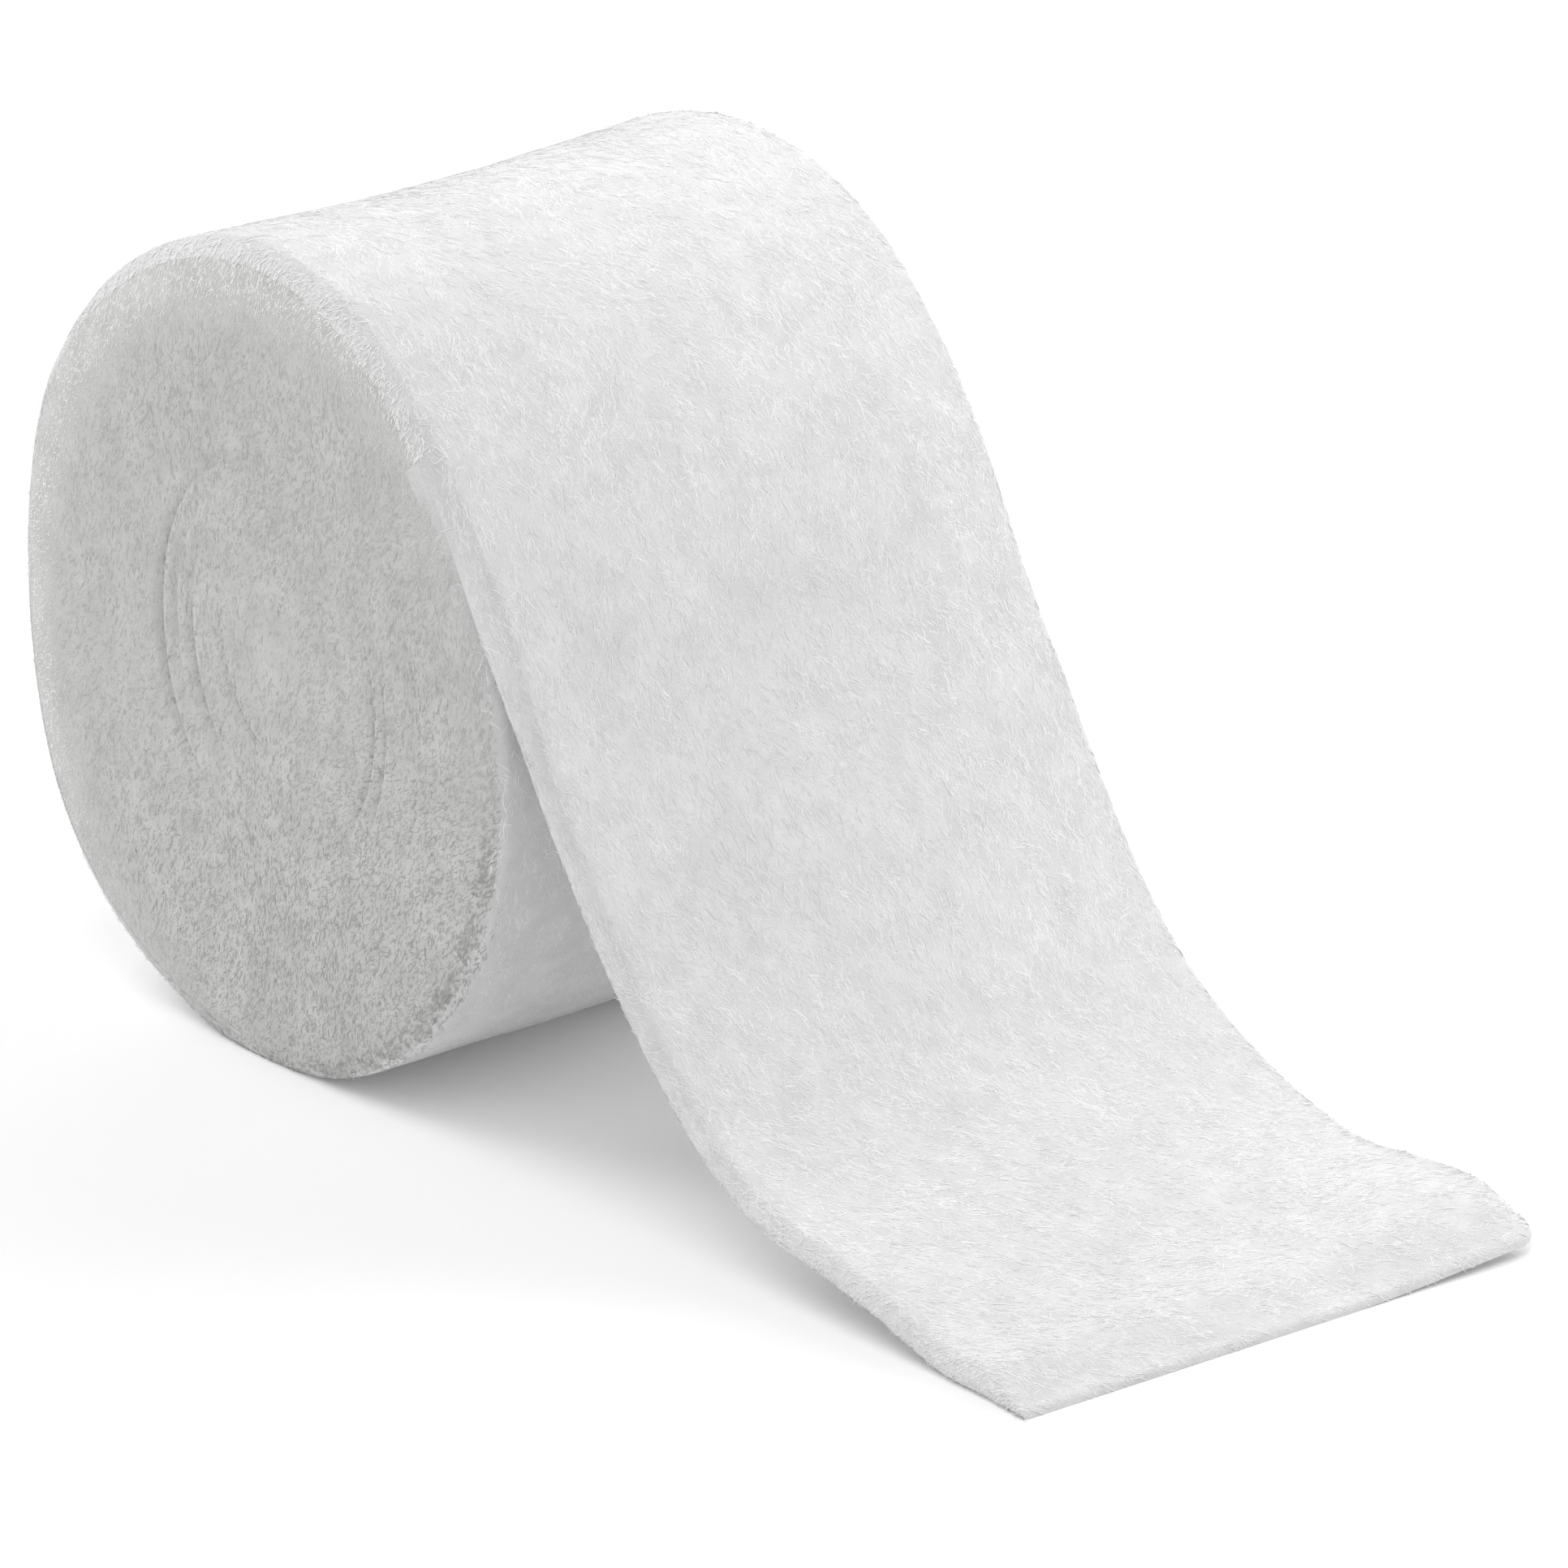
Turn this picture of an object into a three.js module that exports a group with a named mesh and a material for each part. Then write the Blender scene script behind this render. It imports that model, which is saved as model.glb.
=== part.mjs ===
// Cast padding roll: one strip of soft nonwoven wadding wound up on itself, with no core.
// It stands on its side. The outer turn comes over the top, leaves the roll and runs down
// to the floor as a loose end, which is cut off straight.
// Millimetres, +Z up. The origin is on the floor under the roll's axis at mid width,
// +X points to the loose end and +Y runs along the roll's axis.
import * as THREE from 'three';

// Padding: width of the strip, thickness of a wound turn and of the loose end
const PAD_WIDTH = 75;
const PAD_WOUND = 2.4;
const PAD_FREE = 3.3;
const TURNS = 18;

// Roll: half sizes of the slightly oval outer turn where the loose end leaves it, and how
// far the roll sinks onto its small flat spot. Angles are in degrees from +X towards +Z.
const ROLL_HALF_X = 46.3;
const ROLL_HALF_Z = 50.1;
const FLAT_SPOT_SINK = 1.0;
const LEAVE_ANGLE = 45;
const SEAT_GAP = 0.3;
const STEP_GAP = 0.5;

// Where the soft roll is pressed in (under the loose end) or bulges (low on its back);
// depths are square to the turns
const DENTS = [
  { angle: 25, span: 50, depth: 1.9 },
  { angle: 232, span: 42, depth: -1.0 },
];

// End faces: each turn's edge is a soft ridge, with a groove between turns
const RIM_ALONG = 2.2;
const GROOVE_AT_RIM = 0.45;
const GROOVE_AT_CORE = 1.0;
const DISH_DEPTH = 0.9;
const RIDGE_WANDER = 0.2;
const WANDER_STARTS = 3;

// The roll leans back and grows a little towards its far end
const LEAN_BACK = 2.4;
const LEAN_RISE = 0.012;

// Slow unevenness of the soft surface: two crossed waves each for X and Z, none at the floor
const WAVE_HEIGHT = 0.35;
const WAVE_FADE_HEIGHT = 12;
const WAVES = [
  { moves: 'x', perX: 0, perY: 1 / 17, perZ: 1 / 11, phase: 0 },
  { moves: 'x', perX: 0, perY: 1 / 9, perZ: -1 / 23, phase: 1.1 },
  { moves: 'z', perX: 1 / 12, perY: -1 / 15, perZ: 0, phase: 0.6 },
  { moves: 'z', perX: 1 / 29, perY: 1 / 10, perZ: 0, phase: 0 },
];

// Loose end: it follows the winding for a short way, then its underside at mid width runs
// through these points to the cut end
const SEATED_TURNS = [1, 0.985, 0.97];
const LOOSE_PATH = [
  { x: 41.6, z: 62.2 },
  { x: 47.3, z: 50.8 },
  { x: 54.8, z: 39.3 },
  { x: 62.4, z: 28.4 },
  { x: 70.1, z: 19.3 },
  { x: 77.6, z: 12.2 },
  { x: 86.6, z: 7.2 },
  { x: 98.5, z: 3.7 },
  { x: 110.0, z: 1.2 },
  { x: 119.0, z: 0.0 },
  { x: 134.1, z: 0.0 },
];
const SWELL_LENGTH = 20;

// How the loose end departs from a straight sweep of that path. Each change grows between
// from and full, and fades between keep and gone, all measured along X.
const LOOSE_SKEW = { size: 2.1, from: 52, full: 92 };
const LOOSE_TWIST = { size: 1.3, from: 84, full: 100, keep: 102, gone: 122 };
const FAR_HUMP = { size: 1.5, from: 106, full: 120, keep: 122, gone: 131 };
const FAR_HUMP_INNER_SIDE = 0.2;
const CUT_SLANT = 2.0;
const CUT_SLANT_STARTS = 0.8;
const FAR_CORNER_RADIUS = 4.5;
const FAR_CORNER_STARTS = 0.86;
const CUT_ROUNDING = [
  { before: 0.6, squeeze: 0.12 },
  { before: 0, squeeze: 0.3 },
];

// Mesh steps
const STEPS_PER_TURN = 48;
const RIM_STEPS = 3;
const BODY_STEPS = 8;
const LOOSE_STEPS = 44;
const ACROSS_STEPS = 10;
const EDGE_STEPS = 4;

const HALF_WIDTH = PAD_WIDTH / 2;
const HALF_TURN_IN = PAD_WOUND / 2;
const BOTTOM_TURN_SHARE = (270 - LEAVE_ANGLE) / 360;
const ROLL_CENTRE_Z = ROLL_HALF_Z - PAD_WOUND * BOTTOM_TURN_SHARE - FLAT_SPOT_SINK;

const { clamp, degToRad, euclideanModulo, lerp, smoothstep } = THREE.MathUtils;
const grow = (from, full, value) => smoothstep(value, from, full);

// The lean towards the far end and the slow unevenness, the same for both solids
function settle(x, y, z) {
  const far = clamp(y / HALF_WIDTH, 0, 1) ** 2;
  const moved = { x: (-LEAN_BACK * far * z) / (2 * ROLL_HALF_Z), z: LEAN_RISE * far * z };
  const height = 0.5 * WAVE_HEIGHT * grow(0, WAVE_FADE_HEIGHT, z);
  for (const wave of WAVES) {
    moved[wave.moves] += height * Math.sin(x * wave.perX + y * wave.perY + z * wave.perZ + wave.phase);
  }
  return new THREE.Vector3(x + moved.x, y, Math.max(0, z + moved.z));
}

// A point of the winding in the XZ plane: turns are counted inwards from where the loose end
// leaves, and inset moves the point further in, square to the turns
function woundPoint(turns, inset) {
  const angle = LEAVE_ANGLE + turns * 360;
  const inward = PAD_WOUND * turns + inset;
  const outerShare = 1 - inward / ROLL_HALF_X;
  let pressed = 0;
  for (const dent of DENTS) {
    const away = Math.abs(euclideanModulo(angle - dent.angle + 180, 360) - 180);
    pressed += dent.depth * (1 - grow(0, dent.span, away)) * outerShare ** 2;
  }
  return {
    x: (ROLL_HALF_X - inward - pressed) * Math.cos(degToRad(angle)),
    z: ROLL_CENTRE_Z + (ROLL_HALF_Z - inward - pressed) * Math.sin(degToRad(angle)),
  };
}

// Collects vertices and triangles into one closed solid
class SolidBuilder {
  constructor() {
    this.positions = [];
    this.indices = [];
  }

  vertex(point) {
    this.positions.push(point.x, point.y, point.z);
    return this.positions.length / 3 - 1;
  }

  triangle(a, b, c, flip = false) {
    this.indices.push(a, flip ? c : b, flip ? b : c);
  }

  quad(a, b, c, d, flip = false) {
    this.triangle(a, b, c, flip);
    this.triangle(a, c, d, flip);
  }

  // Joins closed rings of vertices one after the other, with a quad for each edge
  skin(rings) {
    for (let i = 1; i < rings.length; i += 1) {
      rings[i].forEach((start, j) => {
        const next = (j + 1) % rings[i].length;
        this.quad(rings[i - 1][j], rings[i - 1][next], rings[i][next], start);
      });
    }
  }

  // Closes a loop of vertices onto a middle point
  fan(loop, middle, flip = false) {
    loop.forEach((start, i) => {
      this.triangle(loop[(i + 1) % loop.length], start, middle, flip);
    });
  }

  geometry() {
    const geometry = new THREE.BufferGeometry();
    geometry.setAttribute('position', new THREE.Float32BufferAttribute(this.positions, 3));
    geometry.setIndex(this.indices);
    geometry.computeVertexNormals();
    return geometry;
  }
}

// How far a point of an end face lies behind the roll's end: the grooves between the turns
// deepen towards the core, where the face is dished
function faceDrop(turns, inGroove) {
  const depth = turns / TURNS;
  const groove = inGroove ? lerp(GROOVE_AT_RIM, GROOVE_AT_CORE, depth) : 0;
  const wander = RIDGE_WANDER * grow(0, WANDER_STARTS, turns) * (1 + Math.sin(turns * 4.1));
  return DISH_DEPTH * depth * depth + wander + groove;
}

// One end face: a ribbon that follows the winding from the rim ring to the core
function addEndFace(solid, rim, side) {
  const flip = side > 0;
  const lastCrest = STEPS_PER_TURN * (TURNS - 1);
  const place = (step, inset, inGroove) => {
    const turns = step / STEPS_PER_TURN;
    const point = woundPoint(turns, inset);
    const y = side * (HALF_WIDTH - faceDrop(turns, inGroove));
    return solid.vertex(settle(point.x, y, point.z));
  };
  const crest = rim.slice(0, STEPS_PER_TURN + 1);
  for (let step = crest.length; step <= lastCrest; step += 1) {
    crest.push(place(step, HALF_TURN_IN, false));
  }
  const groove = { [STEPS_PER_TURN]: rim[STEPS_PER_TURN + 1] };
  for (let step = STEPS_PER_TURN + 1; step <= lastCrest + STEPS_PER_TURN; step += 1) {
    groove[step] = place(step, 0, true);
  }
  for (let step = 0; step < lastCrest; step += 1) {
    const inner = step + STEPS_PER_TURN;
    solid.quad(crest[step], crest[step + 1], groove[inner + 1], groove[inner], flip);
    if (step >= STEPS_PER_TURN) {
      solid.quad(groove[step], groove[step + 1], crest[step + 1], crest[step], flip);
    }
  }
  const core = [];
  for (let step = lastCrest; step <= lastCrest + STEPS_PER_TURN; step += 1) {
    core.push(groove[step]);
  }
  core.push(crest[lastCrest]);
  const middleY = side * (HALF_WIDTH - DISH_DEPTH - GROOVE_AT_CORE);
  solid.fan(core, solid.vertex(settle(0, middleY, ROLL_CENTRE_Z)), !flip);
}

// Where the roll's rings lie along its axis: close together over the rounded rims
function rollStations() {
  const rim = [];
  for (let i = 0; i <= RIM_STEPS; i += 1) {
    const turn = (i / RIM_STEPS) * (Math.PI / 2);
    rim.push({
      y: HALF_WIDTH - RIM_ALONG * (1 - Math.cos(turn)),
      inset: HALF_TURN_IN * (1 - Math.sin(turn)),
    });
  }
  const body = [];
  for (let i = 1; i < BODY_STEPS; i += 1) {
    body.push({ y: (HALF_WIDTH - RIM_ALONG) * (1 - (2 * i) / BODY_STEPS), inset: 0 });
  }
  const mirrored = rim.map(({ y, inset }) => ({ y: -y, inset })).reverse();
  return [...rim, ...body, ...mirrored];
}

// The wound roll: rings along the axis follow the outer turn, whose end makes a low step
function makeRoll() {
  const solid = new SolidBuilder();
  const rings = rollStations().map(({ y, inset }) => {
    const outline = [];
    for (let step = 0; step <= STEPS_PER_TURN; step += 1) {
      outline.push(woundPoint(step / STEPS_PER_TURN, inset));
    }
    const [first, last] = [outline[0], outline[STEPS_PER_TURN]];
    outline.push({ x: (first.x + last.x) / 2, z: (first.z + last.z) / 2 });
    return outline.map((point) => solid.vertex(settle(point.x, y, point.z)));
  });
  solid.skin(rings);
  addEndFace(solid, rings[0], 1);
  addEndFace(solid, rings[rings.length - 1], -1);
  return solid.geometry();
}

// The padding's cross-section as a loop: across runs from -1 to 1 over the flat part, edge
// reaches into the rounded edges, and up runs from 0 underneath to 1 on top
function crossSection() {
  const loop = [];
  for (const [from, up] of [[-1, 0], [1, 1]]) {
    for (let i = 0; i <= ACROSS_STEPS; i += 1) {
      loop.push({ across: from * (1 - (2 * i) / ACROSS_STEPS), edge: 0, up });
    }
    for (let i = 1; i < EDGE_STEPS; i += 1) {
      const turn = (i / EDGE_STEPS) * Math.PI;
      const rise = (1 - Math.cos(turn)) / 2;
      loop.push({ across: -from, edge: Math.sin(turn), up: up ? 1 - rise : rise });
    }
  }
  return loop;
}

// A change that grows and fades along X
function along({ size, from, full, keep, gone }, x) {
  const fade = keep === undefined ? 1 : 1 - grow(keep, gone, x);
  return size * grow(from, full, x) * fade;
}

// The loose end: rounded sections of the padding along the path of its underside
function makeLooseEnd() {
  const solid = new SolidBuilder();
  const seated = SEATED_TURNS.map((turns) => woundPoint(turns, -SEAT_GAP));
  const path = new THREE.SplineCurve(
    [...seated, ...LOOSE_PATH].map(({ x, z }) => new THREE.Vector2(x, z)),
  );
  const length = path.getLength();
  const sections = [{ share: STEP_GAP / length, squeeze: 0 }];
  for (let i = 1; i < LOOSE_STEPS; i += 1) {
    sections.push({ share: i / LOOSE_STEPS, squeeze: 0 });
  }
  for (const { before, squeeze } of CUT_ROUNDING) {
    sections.push({ share: 1 - before / length, squeeze });
  }

  const place = ({ share, squeeze }, { across, edge, up }) => {
    const swell = grow(0, SWELL_LENGTH, share * length);
    const thickness = lerp(PAD_WOUND - SEAT_GAP, PAD_FREE, swell);
    const y = across * (HALF_WIDTH - thickness / 2) + Math.sign(across) * edge * (thickness / 2);
    const side = y / HALF_WIDTH;
    const onPath = path.getPointAt(share);
    const tangent = path.getTangentAt(share);
    const lift = thickness * lerp(squeeze, 1 - squeeze, up);
    const intoCorner = Math.max(0, y - (HALF_WIDTH - FAR_CORNER_RADIUS));
    const cornerCut = FAR_CORNER_RADIUS - Math.sqrt(FAR_CORNER_RADIUS ** 2 - intoCorner ** 2);
    const x = onPath.x - tangent.y * lift - cornerCut * grow(FAR_CORNER_STARTS, 1, share);
    const slant = side * CUT_SLANT * grow(CUT_SLANT_STARTS, 1, share);
    const hump = along(FAR_HUMP, x) * grow(FAR_HUMP_INNER_SIDE, 1, side);
    return settle(
      x - side * along(LOOSE_SKEW, x) + slant,
      y,
      onPath.y + tangent.x * lift - side * along(LOOSE_TWIST, x) + hump,
    );
  };
  const loop = crossSection();
  const rings = sections.map((section) => loop.map((shape) => solid.vertex(place(section, shape))));
  solid.skin(rings);
  const middle = { across: 0, edge: 0, up: 0.5 };
  solid.fan(rings[0], solid.vertex(place(sections[0], middle)));
  const last = sections[sections.length - 1];
  solid.fan(rings[rings.length - 1], solid.vertex(place(last, middle)), true);
  return solid.geometry();
}

const woundPadding = new THREE.MeshStandardMaterial({ color: 0xf1f2f1, roughness: 0.95, metalness: 0 });
const loosePadding = new THREE.MeshStandardMaterial({ color: 0xf4f5f4, roughness: 0.95, metalness: 0 });

const group = new THREE.Group();
const roll = new THREE.Mesh(makeRoll(), woundPadding);
roll.name = 'wound_roll';
const looseEnd = new THREE.Mesh(makeLooseEnd(), loosePadding);
looseEnd.name = 'loose_end';
group.add(roll, looseEnd);

export default group;
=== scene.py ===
import math

import bpy
import numpy as np
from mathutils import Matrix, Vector


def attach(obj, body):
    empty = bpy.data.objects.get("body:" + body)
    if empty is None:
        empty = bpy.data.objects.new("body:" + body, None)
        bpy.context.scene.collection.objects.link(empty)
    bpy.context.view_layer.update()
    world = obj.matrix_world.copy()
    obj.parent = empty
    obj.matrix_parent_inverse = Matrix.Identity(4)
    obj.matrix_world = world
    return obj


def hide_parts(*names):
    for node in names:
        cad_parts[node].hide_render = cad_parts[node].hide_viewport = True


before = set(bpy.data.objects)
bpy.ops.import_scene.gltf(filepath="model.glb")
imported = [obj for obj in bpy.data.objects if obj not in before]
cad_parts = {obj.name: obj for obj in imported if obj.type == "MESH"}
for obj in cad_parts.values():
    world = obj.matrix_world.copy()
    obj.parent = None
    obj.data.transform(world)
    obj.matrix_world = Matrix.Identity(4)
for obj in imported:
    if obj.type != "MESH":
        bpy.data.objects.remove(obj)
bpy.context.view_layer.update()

MM = 0.001

# Padding: width of the strip, thickness of a wound turn and of the loose end
PAD_WIDTH = 75.0
PAD_WOUND = 2.4
PAD_FREE = 3.3
HALF_WIDTH = PAD_WIDTH / 2

# Roll: half sizes of the slightly oval outer turn where the loose end leaves it, and how far
# it is sunk to rest on a flat spot. A dent presses the turns in, over its span to each side,
# and a negative dent is a bulge
ROLL_HALF_X = 46.3
ROLL_HALF_Z = 50.1
FLAT_SPOT_SINK = 1.0
LEAVE_ANGLE = 45.0
BOTTOM_TURN_SHARE = (270 - LEAVE_ANGLE) / 360
ROLL_CENTRE_Z = ROLL_HALF_Z - PAD_WOUND * BOTTOM_TURN_SHARE - FLAT_SPOT_SINK
DENTS = [
    {"angle": 25, "span": 50, "depth": 1.9},
    {"angle": 232, "span": 42, "depth": -1.0},
    {"angle": 158, "span": 50, "depth": -2.6},
    {"angle": 208, "span": 44, "depth": -3.3},
]

# The far edges are less rounded than the near ones. The roll leans back and grows a little
# towards its far end, and slow waves make its surface uneven: each moves it along one axis
# (0 is X, 2 is Z) and turns by so many radians to a millimetre
FAR_EDGE_SHARE = 0.5
FAR_EDGE_WIDTH = 12.0
LEAN_BACK = 1.6
LEAN_RISE = 0.012
WAVE_HEIGHT = 0.35
WAVE_FADE_HEIGHT = 12.0
WAVES = [
    {"moves": 0, "per_x": 0, "per_y": 1 / 17, "per_z": 1 / 11, "phase": 0},
    {"moves": 0, "per_x": 0, "per_y": 1 / 9, "per_z": -1 / 23, "phase": 1.1},
    {"moves": 2, "per_x": 1 / 12, "per_y": -1 / 15, "per_z": 0, "phase": 0.6},
    {"moves": 2, "per_x": 1 / 29, "per_y": 1 / 10, "per_z": 0, "phase": 0},
]

# Loose end: its underside at mid width rests on the winding, then runs through these points
SEATED_TURNS = [0.985, 0.97]
SEAT_GAP = 0.3
LOOSE_PATH = [
    (41.6, 62.2), (47.3, 50.8), (54.8, 39.3), (62.4, 28.4), (70.1, 19.3), (77.6, 12.2),
    (86.6, 7.2), (98.5, 3.7), (110.0, 1.2), (119.0, 0.0), (134.1, 0.0),
]

# The loose end swells to its free thickness. The skew pushes its near edge on and holds the
# far one back, the twist lifts the near edge and lowers the far one, and the hump lifts the
# far half near the cut. They start and end at places along X
SWELL_LENGTH = 20.0
LOOSE_SKEW = {"size": 2.1, "start": 52, "full": 92}
LOOSE_TWIST = {"size": 1.3, "start": 84, "full": 100, "keep": 102, "gone": 122}
FAR_HUMP = {"size": 1.9, "start": 106, "full": 121, "keep": 130, "gone": 140}
FAR_HUMP_INNER_SIDE = 0.2

# Cut end: it slants forward on the far side, where its corner is rounded, and it thins out
# to a rounded edge. CUT_LEAST is the share of the thickness that is left at the very end
CUT_SLANT = 3.1
CUT_SLANT_LENGTH = 30.0
FAR_CORNER_RADIUS = 6.5
FAR_CORNER_LENGTH = 21.0
CUT_ROUNDING = 1.1
CUT_LEAST = 0.04
CUT_THIN = 0.24
CUT_THIN_LENGTH = 9.0
CUT_FINE_LENGTH = 4.4
CUT_FINE_STEP = 0.22

# Inner end of the outer turn, tucked under the place where the loose end leaves the roll
TUCK_TURNS = 0.008
TUCK_LENGTH = 2.4
TUCK_NARROWING = 0.985

# Soft shoulder between the side of the roll and its end faces, at turns of the outer turn:
# how far its rounding reaches in along Y, how many times as far it spreads across the turns,
# and how far the face falls back towards the rim. Along the loose end the shoulder becomes
# the half-round edge of the free strip
SHOULDER = [
    {"turns": 0.0, "reach": 2.2, "spread": 1.3, "fall": 0.3},
    {"turns": 0.1, "reach": 2.4, "spread": 2.4, "fall": 0.9},
    {"turns": 0.25, "reach": 2.8, "spread": 3.4, "fall": 1.6},
    {"turns": 0.38, "reach": 2.7, "spread": 3.4, "fall": 1.4},
    {"turns": 0.5, "reach": 2.4, "spread": 2.6, "fall": 0.9},
    {"turns": 0.62, "reach": 2.2, "spread": 2.0, "fall": 0.5},
    {"turns": 0.8, "reach": 2.2, "spread": 1.5, "fall": 0.3},
    {"turns": 1.0, "reach": 2.2, "spread": 1.3, "fall": 0.3},
]
FALL_WIDTH = 12.0
COVERED_FROM = 0.93
EDGE_MORPH_START = 20.0
EDGE_MORPH_FULL = 44.0

# Lumps of the strip's upper face, along and across it. They fade towards its edges, its cut
# end and its tucked end, and are lower on the roll than on the loose end
LUMP_DRIFT = {"size": 6, "long": 31, "wide": 23, "seed": 3}
BROAD_LUMPS = {"size": 0.24, "long": 17, "wide": 12, "seed": 4}
SMALL_LUMPS = {"size": 0.06, "long": 7.5, "wide": 4.6, "seed": 5}
FINE_LUMPS = {"size": 0.015, "long": 3.6, "wide": 2.6, "seed": 6}
SMALL_LUMP_LEAN = 0.35
LUMPS_FULL_UP = 0.35
LUMPS_FADE_AT_CUT = 3.0
LUMPS_FADE_AT_TUCK = 14.0
LUMPS_ON_ROLL = 0.6
LUMPS_FREE_LENGTH = 30.0

# End faces of the winding. Its core lies off the centre by CORE_SHIFT. The faces are a little
# hollow, with a shallow groove between the turns that deepens inwards and is gone again at
# the core
CORE_SHIFT = (4.0, 4.5)
FACE_TURNS = 18.85
DISH_DEPTH = 0.9
DISH_TURNS = 18.0
RIDGE_POWER = 0.7
GROOVE_AT_CORE = 0.07
GROOVE_GROWTH = 2.0
GROOVE_UNEVEN = 0.45
GROOVE_BUMPS = 1.7
CORE_FADE = (17.2, 18.4)

# The turns lie back by uneven amounts: a mean, and a slow and a quick wander along the winding
TURN_WANDER = 0.05
WANDER_FROM = (2, 6)
WANDER_MEAN = 0.6
WANDER_START = 7
SLOW_WANDER_RATE = 2.3
QUICK_WANDER_RATE = 7.7
QUICK_WANDER_SHARE = 0.5

# A few turns part more than the rest, for a part of a turn. The depths are shares of
# PARTED_GROOVE
PARTED_GROOVE = 1.6
PARTED_EDGE_FROM = 0.7
PARTED = [
    {"turns": 11.38, "half": 0.15, "depth": 0.42},
    {"turns": 12.36, "half": 0.10, "depth": 0.22},
    {"turns": 13.42, "half": 0.10, "depth": 0.34},
    {"turns": 15.50, "half": 0.12, "depth": 0.30},
    {"turns": 9.84, "half": 0.07, "depth": 0.22},
    {"turns": 10.83, "half": 0.09, "depth": 0.25},
    {"turns": 6.90, "half": 0.08, "depth": 0.12},
]

# Mesh steps
STRIP_STEP = 1.1
LINE_TURN_STEPS = 400
LINE_PATH_STEPS = 24
LINE_SMOOTHINGS = 3
JUST_BELOW_A_TURN = 0.9999
TOP_STEPS = 60
UNDER_STEPS = 12
EDGE_STEPS = 8
STEPS_PER_TURN = 180
TURN_STEPS = 4
SIDE_STEPS = 6
SHARP_ANGLE = math.radians(50)


# Smooth steps and smooth noise
def ease(start, full, value):
    share = np.clip((value - start) / (full - start), 0, 1)
    return share * share * (3 - 2 * share)


def between(low, high, share):
    return low + (high - low) * share


def along(change, x):
    """A change that grows between start and full, and fades between keep and gone, along X."""
    fade = 1 - ease(change["keep"], change["gone"], x) if "keep" in change else 1
    return change["size"] * ease(change["start"], change["full"], x) * fade


NOISE_VALUES = np.random.default_rng(71).uniform(-1, 1, 4096)


def noise(*coordinates, seed=0):
    """Smooth noise from -1 to 1 in one, two or three dimensions, one unit to a bump."""
    place = np.stack(np.broadcast_arrays(*coordinates), axis=-1).astype(float)
    corner = np.floor(place).astype(np.int64)
    share = place - corner
    share = share * share * (3 - 2 * share)
    total = 0
    dimensions = place.shape[-1]
    for number in range(2 ** dimensions):
        offset = [(number >> axis) & 1 for axis in range(dimensions)]
        key = np.full(place.shape[:-1], seed * 7919, np.int64)
        weight = 1.0
        for axis, step in enumerate(offset):
            key = (key ^ (corner[..., axis] + step)) * 1103515245 + 12345
            key ^= key >> 15
            weight = weight * (share[..., axis] if step else 1 - share[..., axis])
        total = total + weight * NOISE_VALUES[key & 4095]
    return total


def bumps(row, first, second, *third):
    """Noise of a row's size, with bumps as long as the row says in the first direction and as
    wide in the second."""
    return row["size"] * noise(first / row["long"], second / row["wide"], *third, seed=row["seed"])


# The winding and the path of the strip
def settled(points):
    """Fuller far edges, the lean towards them and the slow unevenness. Nothing goes under
    the floor."""
    x, y, z = points[..., 0], points[..., 1], points[..., 2]
    behind = HALF_WIDTH - y
    y = y + FAR_EDGE_SHARE * behind * (1 - ease(0, FAR_EDGE_WIDTH, behind))
    far = np.clip(y / HALF_WIDTH, 0, 1) ** 2
    moved = [-LEAN_BACK * far * z / (2 * ROLL_HALF_Z), 0, LEAN_RISE * far * z]
    height = 0.5 * WAVE_HEIGHT * ease(0, WAVE_FADE_HEIGHT, z)
    for wave in WAVES:
        phase = x * wave["per_x"] + y * wave["per_y"] + z * wave["per_z"] + wave["phase"]
        moved[wave["moves"]] = moved[wave["moves"]] + height * np.sin(phase)
    return np.stack([x + moved[0], y, np.maximum(0, z + moved[2])], axis=-1)


def wound(turns, inset):
    """X and Z of the winding: turns are counted inwards from where the loose end leaves."""
    degrees = LEAVE_ANGLE + turns * 360
    inward = PAD_WOUND * turns + inset
    outer_share = 1 - inward / ROLL_HALF_X
    pressed = 0
    for dent in DENTS:
        away = np.abs((degrees - dent["angle"] + 180) % 360 - 180)
        pressed = pressed + dent["depth"] * (1 - ease(0, dent["span"], away)) * outer_share ** 2
    angle = np.radians(degrees)
    core_share = np.clip(1 - outer_share, 0, 1) ** 2
    centre_x = CORE_SHIFT[0] * core_share
    centre_z = CORE_SHIFT[1] * core_share + ROLL_CENTRE_Z
    return np.stack([
        centre_x + (ROLL_HALF_X - inward - pressed) * np.cos(angle),
        centre_z + (ROLL_HALF_Z - inward - pressed) * np.sin(angle),
    ], axis=-1)


def spline(points, steps):
    """A smooth line through the points."""
    ends = np.vstack([points[:1], points, points[-1:]])
    t = (np.arange(steps) / steps)[:, None]
    spans = []
    for a, b, c, d in zip(ends, ends[1:], ends[2:], ends[3:]):
        cubic = (3 * b - a - 3 * c + d) * t ** 3 + (2 * a - 5 * b + 4 * c - d) * t ** 2
        spans.append(0.5 * (cubic + (c - a) * t + 2 * b))
    return np.vstack(spans + [points[-1:]])


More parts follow.
